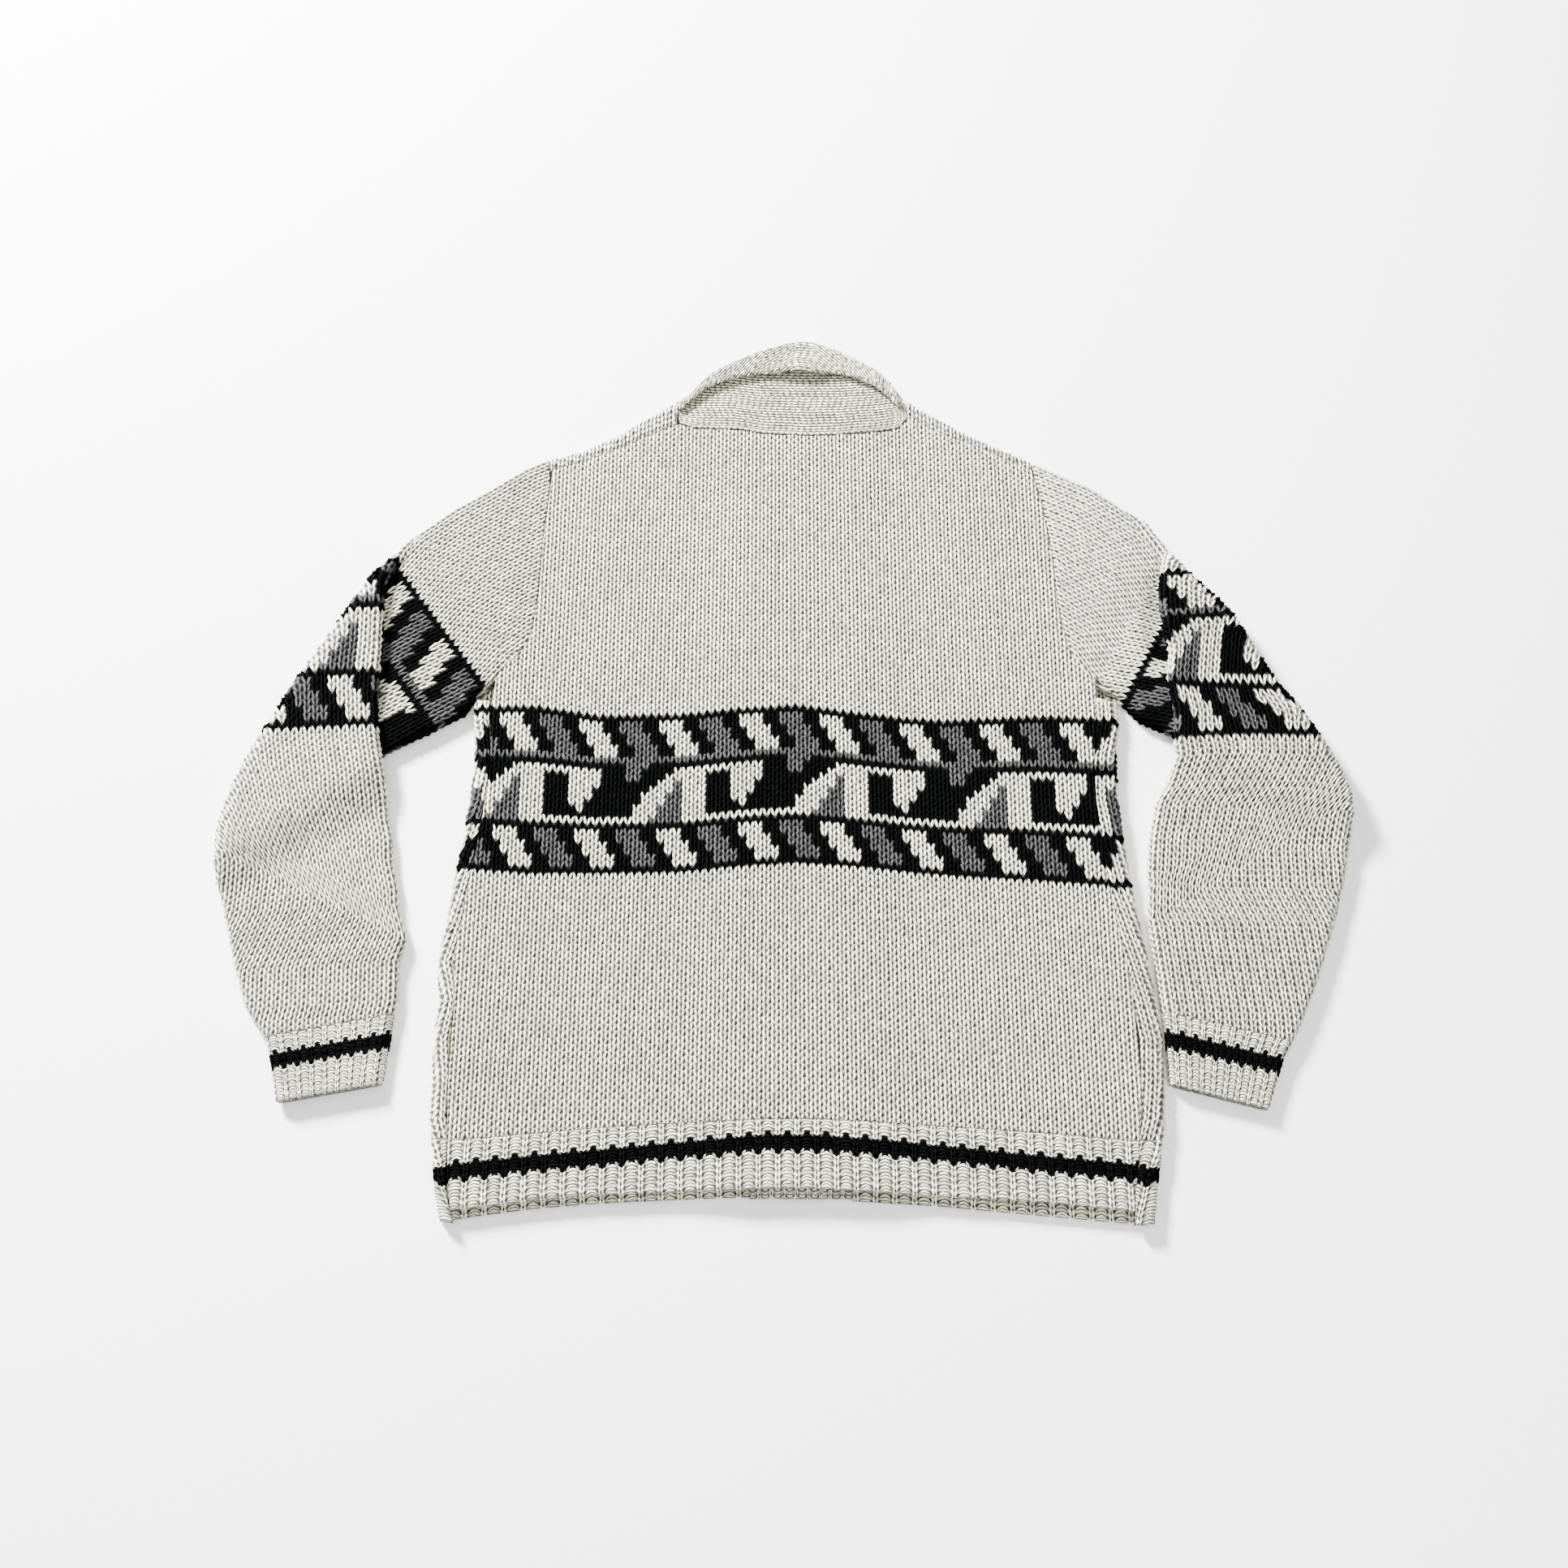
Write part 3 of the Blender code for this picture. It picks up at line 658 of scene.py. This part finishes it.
def turned(side, x, y, height):
    """Take a point of a front, laid out flat, round the side fold or the shoulder fold."""
    out = x * side
    start = edge_x(side, y) * side - LAID / 2
    wrap_x, wrap_z = rolled(out, height, start, LAID / 2, WALL / 2)
    on_side = y < SIDE_TOP
    fold = line_over(SHOULDER[side], x, 0)
    up, up_z = rolled((y - fold) * LEAN, height, -LAID / 2, LAID / 2, WALL / 2)
    px = np.where(on_side, wrap_x, out) * side
    py = np.where(on_side, y, fold + up / LEAN)
    pz = np.where(on_side, wrap_z, up_z)
    return np.stack([px, py, np.maximum(pz, 0)], -1)


def beyond_edge(side):
    """How far past the side edge a front runs, flat, to reach the back's side seam."""
    return WRAP - LAID + SEAM_IN[side] - SEAM


def front_hold(side):
    """Keep a point of a front, laid out flat, inside its seams."""
    hole = [(x - side * 2.5 * SEAM, y) for x, y in ARMHOLE[side]]
    neck_x, neck_y = SHOULDER[side][0]
    # The left shoulder strip shows a little further in, beside the collar's end
    near = abs(neck_x) - (4.5 if side < 0 else 0)
    seam = [row[:2] for row in BAND] + [(neck_y - 6, near + 0.5), (neck_y + 40, near - 3)]

    def hold(x, y):
        reach = edge_x(side, y) * side + beyond_edge(side)
        arm = line_over(hole, y, 1) * side
        outer = np.where(y < SIDE_TOP - 1, reach, arm)
        x = np.clip(x * side, column(seam, 1, y) + SEAM, outer) * side
        fold = line_over(SHOULDER[side], x, 0)
        seam_y = line_over(SHOULDER_SEAM[side], x, 0)
        high = fold + (WRAP - LAID) / LEAN + (fold - seam_y - SEAM)
        return x, np.clip(y, hem_top(x) + SEAM, high)

    return hold


def knit_front(side):
    name = "front_left" if side < 0 else "front_right"
    wales = (-46, -5) if side < 0 else (5, 47)
    obj = knit(name + "_knit", PLAIN, wales, (-62, 68), body_spot, front_hold(side),
               lambda x, y, depth: turned(side, x, y, -depth),
               lambda w, t, kind: chart(w + 5, np.floor(t)), level=above_hem)
    dressed(obj, name)


def striped(w, t, kind):
    """A dark stripe at row 0, with pale flecks along its edges in the hollows of the ribs."""
    dark = (t >= -STRIPE_HALF) & (t < STRIPE_HALF)
    fleck = ((kind == 0) | (kind == 3)) & ((t == -STRIPE_HALF) | (t == STRIPE_HALF - 0.5))
    return np.where(dark & ~fleck, BLACK, OATMEAL)


def hem_spot(w, t):
    x = w * RIB_HEM
    return x, column(HEM, 4, x) - t * RIB_ROW


def below_body(x, y):
    """Where a hem runs on from the knitting above it."""
    return y > hem_top(x) - 4


def knit_hem_back():
    def hold(x, y):
        # The hem is 2.5 mm wider on each side at its free edge, 57 mm down
        flare = 2.5 * np.clip((column(HEM, 1, x) - y) / 57, 0, 1)
        left = edge_x(-1, y) + SEAM_IN[-1] - flare
        right = edge_x(1, y) - SEAM_IN[1] + flare
        x = np.clip(x, left, right)
        return x, np.clip(y, column(HEM, 2, x), column(HEM, 1, x))

    obj = knit("hem_back_rib", RIBS, (-19, 19), (-9, 9), hem_spot, hold, back_place, striped,
               lining=True, lining_relief=0.4, level=below_body)
    dressed(obj, "hem_back")


def knit_hem_front(side):
    name = "hem_front_left" if side < 0 else "hem_front_right"
    top = edge_x(side, -313) * side + beyond_edge(side)
    low = edge_x(side, -374) * side + beyond_edge(side) - 3
    seam = BAND[0][1] + SEAM

    def hold(x, y):
        share = np.clip((column(HEM, 1, x) - y) / 62, 0, 1)
        x = np.clip(x * side, seam, top + (low - top) * share) * side
        return x, np.clip(y, column(HEM, 3, x), hem_top(x))

    wales = (-21, -2) if side < 0 else (2, 21)
    obj = knit(name + "_rib", RIBS, wales, (-9, 9), hem_spot, hold,
               lambda x, y, depth: turned(side, x, y, -depth), striped, lining=True,
               lining_relief=0.3, level=below_body)
    dressed(obj, name)


def knit_band(side):
    """One front band: the right one lies on the surface and the left one laps over it."""
    name = "band_left" if side < 0 else "band_right"
    lap = 4.8 if side < 0 else 0.0      # rise of the left band over the right one
    neck_rise = 1.6                     # rise of both at the neck
    slant = 6                           # how much higher the free edge ends than the seam

    def hold(x, y):
        out = np.clip(x * side, column(BAND, 2, y), column(BAND, 1, y))
        return out * side, np.clip(y, BAND[0][0], BAND[-1][0])

    def place(x, y, depth):
        seam, free = column(BAND, 1, y), column(BAND, 2, y)
        share = (seam - x * side) / (seam - free)
        up = y + slant * share * smooth((y - 300) / 45)
        lapped = lap * smooth(share / 0.38) * smooth((330 - up) / 90)
        at_neck = neck_rise * smooth((up - 325) / 18)
        return np.stack([x, up, np.maximum(lapped + at_neck - depth, 0)], -1)

    def spot(w, t):
        y = t * ROW
        return column(BAND, 1, y) * side - side * w * RIB_BAND, y

    obj = knit(name + "_rib", RIBS, (-1, 7), (-64, 62), spot, hold, place, plain, lining=True)
    fix_normals(obj)
    dressed(obj, name)


def fix_normals(obj):
    form = bmesh.new()
    form.from_mesh(obj.data)
    bmesh.ops.recalc_face_normals(form, faces=form.faces)
    form.to_mesh(obj.data)
    form.free()


def half_round(width):
    """Run from edge to edge of a tube laid flat."""
    return width - LAID + math.pi * LAID / 2


def tube_wall(run, over, width, depth):
    """Place across a tube laid flat and height in it, at a run round it from one edge.

    over is true on the tube's upper layer.
    """
    full = half_round(width)
    quarter, mid = math.pi * LAID / 4, LAID / 2
    near = np.clip(run / mid, 0, math.pi / 2)
    far = np.clip((full - run) / mid, 0, math.pi / 2)
    radius = mid + depth
    across = np.where(run < quarter, mid - radius * np.cos(near),
                      np.where(full - run < quarter, width - mid + radius * np.cos(far),
                               mid + run - quarter))
    swing = np.where(run < quarter, np.sin(near), np.where(full - run < quarter, np.sin(far), 1))
    return across, mid + np.where(over, 1, -1) * radius * swing


class Fold:
    """The slanting fold of one sleeve."""

    def __init__(self, side):
        table = SLEEVES[side]
        self.side = side
        self.start = np.array(table["ridge"][-1], float)
        self.under = np.array(table["under"][1], float)
        end = np.array(table["under"][-1], float)
        self.way = unit(end - self.start)
        self.out = np.array((side * abs(self.way[1]), abs(self.way[0])))
        self.under_way = unit(end - self.under)
        self.bulge = table["bulge"]
        self.inner = table["inner"]
        self.sunk = table["sunk"]

    def begin(self, q):
        return column(self.bulge, 1, q) - FOLD_AXIS

    def split(self, flat):
        rel = flat - self.start
        return rel @ self.out, rel @ self.way

    def joined(self, offset, q):
        return self.start + offset[..., None] * self.out + q[..., None] * self.way

    def opened(self, folded):
        """Where a point of the turned-back part lies with the sleeve straight."""
        offset, q = self.split(np.asarray(folded, float))
        return self.joined(2 * self.begin(q) + FOLD_GIRTH - offset, q)

    def laid(self, flat, height):
        """Fold a point of the straight sleeve over and let it down to the surface."""
        offset, q = self.split(flat)
        begin = self.begin(q)
        to, up = rolled(offset, height, begin, FOLD_AXIS, LAID / 2)
        spot = self.joined(to, q)
        rel = spot - self.under
        below = self.side * (rel[..., 0] * self.under_way[1] - rel[..., 1] * self.under_way[0])
        back = offset > begin + FOLD_GIRTH
        gap = (line_over(self.inner, spot[..., 1], 1) - spot[..., 0]) * self.side
        # The dip runs between these two heights, within 22 mm of the turned-back part
        near_fold = smooth((222 - spot[..., 1]) / 35) * smooth((spot[..., 1] - 80) / 50)
        dip = self.sunk * smooth(1 - gap / 22) * near_fold
        up = np.where((offset < begin) & (height > LAID / 2), up - dip, up)
        drop = np.where(back, (FOLD_AXIS * 2 - LAID) * smooth(below / DROP_RUN), 0)
        return np.concatenate([spot, np.maximum(up - drop, 0)[..., None]], -1)


class Sleeve:
    """A straight sleeve's own plane: a along it from the shoulder, c across from its ridge."""

    def __init__(self, side):
        table = SLEEVES[side]
        self.fold = Fold(side)
        ridge = np.concatenate([table["ridge"], self.fold.opened(table["inner"])[1:]])
        under = np.concatenate([table["under"], self.fold.opened(table["outer"])[1:]])
        self.origin = ridge[0]
        self.way = unit(ridge[-1] - ridge[0])
        self.cross = np.array((self.way[1], -self.way[0])) * side
        self.ridge = self.to_plane(ridge)
        self.under = self.to_plane(under)
        self.hole = self.to_plane(np.array([(x + side * SEAM, y) for x, y in ARMHOLE[side]]))
        self.wrist = self.to_plane(np.array([ridge[-1], under[-1]]))

    def to_plane(self, points):
        rel = np.asarray(points, float) - self.origin
        return np.stack([rel @ self.way, rel @ self.cross], -1)

    def width(self, a):
        return line_over(self.under, a, 0) - line_over(self.ridge, a, 0)

    def around(self, a):
        return half_round(self.width(a))

    def lateral(self, a, c, depth=0.0):
        """Place across the sleeve's plane and height in its thickness, for a run c round it."""
        run = np.minimum(np.abs(c), self.around(a))
        across, height = tube_wall(run, c >= 0, self.width(a), depth)
        return across + line_over(self.ridge, a, 0), height

    def hold(self, c, a):
        """Keep a point between the armhole and the cuff, and short of the underarm."""
        for _ in range(2):
            lat, _height = self.lateral(a, c)
            a = np.clip(a, line_over(self.hole, lat, 1), line_over(self.wrist, lat, 1))
            full = self.around(a)
            c = np.clip(c, -full, full)
        return c, a

    def place(self, c, a, depth):
        lat, height = self.lateral(a, c, depth)
        flat = self.origin + a[..., None] * self.way + lat[..., None] * self.cross
        return self.fold.laid(flat, height)


def knit_sleeve(side):
    name = "sleeve_left" if side < 0 else "sleeve_right"
    sleeve = Sleeve(side)
    table = SLEEVES[side]
    dark_run = 26       # this near the underarm, the pattern's pale stitches are black
    wrist = 400         # past this run the sleeve goes on into its cuff

    def spot(w, t):
        stretch = np.clip(t, 0, CHART_ROWS) * (table["row"] - ROW)
        return w * WALE, table["band_from"] + t * ROW + stretch

    def yarn(w, t, kind):
        shade = chart(table["column"] + table["turn"] * w, np.floor(t))
        c, a = spot(np.abs(w), t)
        underarm = (t >= 0) & (t < CHART_ROWS) & (c > sleeve.around(a) - dark_run)
        return np.where(underarm & (shade == OATMEAL), BLACK, shade)

    obj = knit(name + "_knit", PLAIN, (-30, 30), (-40, 90), spot, sleeve.hold, sleeve.place, yarn,
               rim_here=lambda c, a: np.abs(c) < sleeve.around(a) - 1.0,
               level=lambda c, a: a > wrist)
    dressed(obj, name)


def knit_cuff(side):
    name = "cuff_left" if side < 0 else "cuff_right"
    table = SLEEVES[side]
    length = 59.0       # of the cuff, down to its free edge
    girth = 100.0       # of one layer, before it is fitted to the width
    ribs = 9            # in one layer
    stripe = 25         # from the seam to the middle of the dark stripe

    def spot(w, t):
        return w * girth / ribs, stripe + t * RIB_ROW + 0 * w

    def hold(c, v):
        return np.clip(c, -girth, girth), np.clip(v, SEAM, length)

    def place(c, v, depth):
        inner = along(table["cuff_inner"], v / length)
        run = along(table["cuff_outer"], v / length) - inner
        width = np.sqrt((run ** 2).sum(-1))
        across, height = tube_wall(np.abs(c) / girth * half_round(width), c >= 0, width, depth)
        flat = inner + run * (across / width)[..., None]
        return np.concatenate([flat, np.maximum(height, 0)[..., None]], -1)

    obj = knit(name + "_rib", RIBS, (-ribs, ribs), (-6, 9), spot, hold, place, striped,
               rim_here=lambda c, a: np.abs(c) < girth - 0.1, level=lambda c, v: v < 4)
    dressed(obj, name)


def knit_collar():
    """A stand from the neck seam to the roll, and the fall turned down over it."""
    axis = 5.3          # height that the cloth rolls over round
    long = 250.0        # length of the lattice, before it is fitted to the neck
    count = 40          # stitches along the collar
    row_high = 3.3      # height of one of its rows

    def section(u, s, depth):
        """A point of the collar at share u of its length and s along its section."""
        neck, roll, fall = along(NECK, u), along(ROLL, u), along(FALL, u)
        neck = neck + (0, SEAM / 2)
        way = roll - neck
        tall = np.sqrt((way ** 2).sum(-1))
        way = way / tall[..., None]
        centre = roll - way * axis
        stand = tall - axis
        drop = fall - centre
        length = np.sqrt((drop ** 2).sum(-1))
        turn = math.pi * axis
        total = stand + turn + length
        # The free edge lifts near the middle
        lift = 0.4 + 7 * smooth(1 - np.abs(u - 0.54) / 0.14)
        # The lining side faces up on the stand and down on the fall, and thins at the free edge
        lining = depth < -1
        depth = depth * (1 - np.where(lining, 0.75, 0) * smooth(1 - (total - s) / 5))
        # A raised chain runs along the neck seam, and knots along the free edge
        chain = np.where(lining, 1.8 * np.sin(np.clip((s + 0.6) / 5.8, 0, 1) * math.pi), 0)
        knots = (0.5 + 1.1 * np.abs(np.sin(u * count * math.pi))) * np.where(lining, 0, 1)
        knots = knots * smooth(1 - np.abs(total - s - 3.5) / 4)
        radius = axis + depth
        share = np.clip(s / stand, 0, 1)
        base = (LAID - WALL + crown(neck[..., 0])) * (1 - smooth(share * 1.15))
        low = neck + (centre - neck) * share[..., None]
        angle = np.clip((s - stand) / turn, 0, 1) * math.pi
        mid = centre + way * (radius * np.sin(angle))[..., None]
        past = np.clip((s - stand - turn) / length, 0, 1)
        high = centre + drop * past[..., None]
        first, last = s <= stand, s > stand + turn
        xy = np.where(first[..., None], low, np.where(last[..., None], high, mid))
        z = np.where(first, base - depth + chain,
                     np.where(last, axis + lift * smooth(past) + radius + knots,
                              axis - radius * np.cos(angle)))
        return np.concatenate([xy, np.maximum(z, 0)[..., None]], -1), total

    def hold(x, s):
        x = np.clip(x, 0, long)
        return x, np.clip(s, 0, section(x / long, np.zeros_like(x), np.zeros_like(x))[1])

    def spot(w, t):
        row = np.floor(t + 0.25)
        return (w + 0.6 * np.sin(row * 2.4)) * long / count, t * row_high + 0 * w

    obj = knit("collar_knit", PURL, (-1, count + 1), (-1, 52), spot, hold,
               lambda x, s, depth: section(x / long, s, depth)[0], plain,
               lining=True, lining_relief=PURL.height)
    dressed(obj, "collar")


class CardiganWool(bpy.types.PropertyGroup):
    """Colours of the three wools"""
    oatmeal: bpy.props.FloatVectorProperty(
        name="Oatmeal", description="Colour of the ground wool", subtype="COLOR",
        default=(0.97, 0.935, 0.67), min=0, max=1)
    black: bpy.props.FloatVectorProperty(
        name="Black", description="Colour of the darkest wool", subtype="COLOR",
        default=(0.0022, 0.0024, 0.0024), min=0, max=1)
    charcoal: bpy.props.FloatVectorProperty(
        name="Charcoal", description="Colour of the heather wool", subtype="COLOR",
        default=(0.05, 0.05, 0.051), min=0, max=1)


class CARDIGAN_OT_body(bpy.types.Operator):
    """Knit the back and both fronts"""
    bl_idname = "cardigan.body"
    bl_label = "Body"

    def execute(self, context):
        knit_back()
        knit_front(-1)
        knit_front(1)
        return {"FINISHED"}


class CARDIGAN_OT_ribs(bpy.types.Operator):
    """Knit the ribs of the hem and the front bands"""
    bl_idname = "cardigan.ribs"
    bl_label = "Hem and bands"

    def execute(self, context):
        knit_hem_back()
        for side in (-1, 1):
            knit_hem_front(side)
            knit_band(side)
        return {"FINISHED"}


class CARDIGAN_OT_sleeves(bpy.types.Operator):
    """Knit both folded sleeves and their cuffs"""
    bl_idname = "cardigan.sleeves"
    bl_label = "Sleeves and cuffs"

    def execute(self, context):
        for side in (-1, 1):
            knit_sleeve(side)
            knit_cuff(side)
        return {"FINISHED"}


class CARDIGAN_OT_collar(bpy.types.Operator):
    """Knit the standing collar and its fall"""
    bl_idname = "cardigan.collar"
    bl_label = "Collar"

    def execute(self, context):
        knit_collar()
        return {"FINISHED"}


def lay_floor():
    bpy.ops.object.select_all(action="DESELECT")
    bpy.ops.mesh.primitive_plane_add(size=8, location=(0, 0, -0.0006))
    floor = bpy.context.active_object
    floor.name = "pale_floor"
    shop = Shop("pale_floor")
    grain = shop.node("ShaderNodeTexNoise", {}, {"Scale": 6.0})
    shop.into("Base Color", shop.mix(grain, (0.93, 0.93, 0.93, 1), (0.95, 0.95, 0.95, 1)))
    shop.into("Roughness", 0.9)
    floor.data.materials.append(shop.material)


def hang_lamp(name, place, size, power):
    """A square lamp that faces the middle of the cardigan."""
    data = bpy.data.lights.new(name, "AREA")
    data.size = size
    data.energy = power
    lamp = bpy.data.objects.new(name, data)
    bpy.context.scene.collection.objects.link(lamp)
    lamp.location = place
    lamp.rotation_euler = (-Vector(place)).to_track_quat("-Z", "Y").to_euler()


def light_room(strength):
    world = bpy.data.worlds.new("studio")
    world.use_nodes = True
    background = world.node_tree.nodes["Background"]
    background.inputs["Color"].default_value = (1, 1, 1, 1)
    background.inputs["Strength"].default_value = strength
    bpy.context.scene.world = world


def aim_camera():
    """The photograph's view: from the hem's side, tilted back from straight above."""
    data = bpy.data.cameras.new("camera")
    data.sensor_width = 36
    data.lens = 39
    camera = bpy.data.objects.new("camera", data)
    bpy.context.scene.collection.objects.link(camera)
    camera.location = (-0.0135, -0.5117, 1.4095)
    camera.rotation_euler = (math.radians(20), 0, 0)
    bpy.context.scene.camera = camera


class CARDIGAN_OT_stage(bpy.types.Operator):
    """Lay the pale floor, set the soft lamps and aim the camera"""
    bl_idname = "cardigan.stage"
    bl_label = "Stage"

    def execute(self, context):
        lay_floor()
        hang_lamp("key", (-1.8, 2.2, 1.65), size=0.7, power=1090)
        hang_lamp("fill", (1.0, -1.7, 1.7), size=2.6, power=80)
        hang_lamp("top", (0, 0.2, 2.6), size=3.0, power=44)
        light_room(0.6)
        aim_camera()
        return {"FINISHED"}


class CARDIGAN_PT_pieces(bpy.types.Panel):
    """Lists the pieces of the cardigan and its wools"""
    bl_idname = "CARDIGAN_PT_pieces"
    bl_label = "Cardigan"
    bl_space_type = "VIEW_3D"
    bl_region_type = "UI"
    bl_category = "Cardigan"

    def draw(self, context):
        wools = context.scene.cardigan_wool
        for name in ("oatmeal", "black", "charcoal"):
            self.layout.prop(wools, name)
        for kind in STEPS:
            self.layout.operator(kind.bl_idname)


STEPS = (CARDIGAN_OT_body, CARDIGAN_OT_ribs, CARDIGAN_OT_sleeves, CARDIGAN_OT_collar,
         CARDIGAN_OT_stage)
CLASSES = (CardiganWool, *STEPS, CARDIGAN_PT_pieces)


def register():
    for kind in CLASSES:
        bpy.utils.register_class(kind)
    bpy.types.Scene.cardigan_wool = bpy.props.PointerProperty(type=CardiganWool)


def unregister():
    del bpy.types.Scene.cardigan_wool
    for kind in reversed(CLASSES):
        bpy.utils.unregister_class(kind)


def main():
    register()
    bpy.ops.cardigan.body()
    bpy.ops.cardigan.ribs()
    bpy.ops.cardigan.sleeves()
    bpy.ops.cardigan.collar()
    bpy.ops.cardigan.stage()


if __name__ == "__main__":
    main()
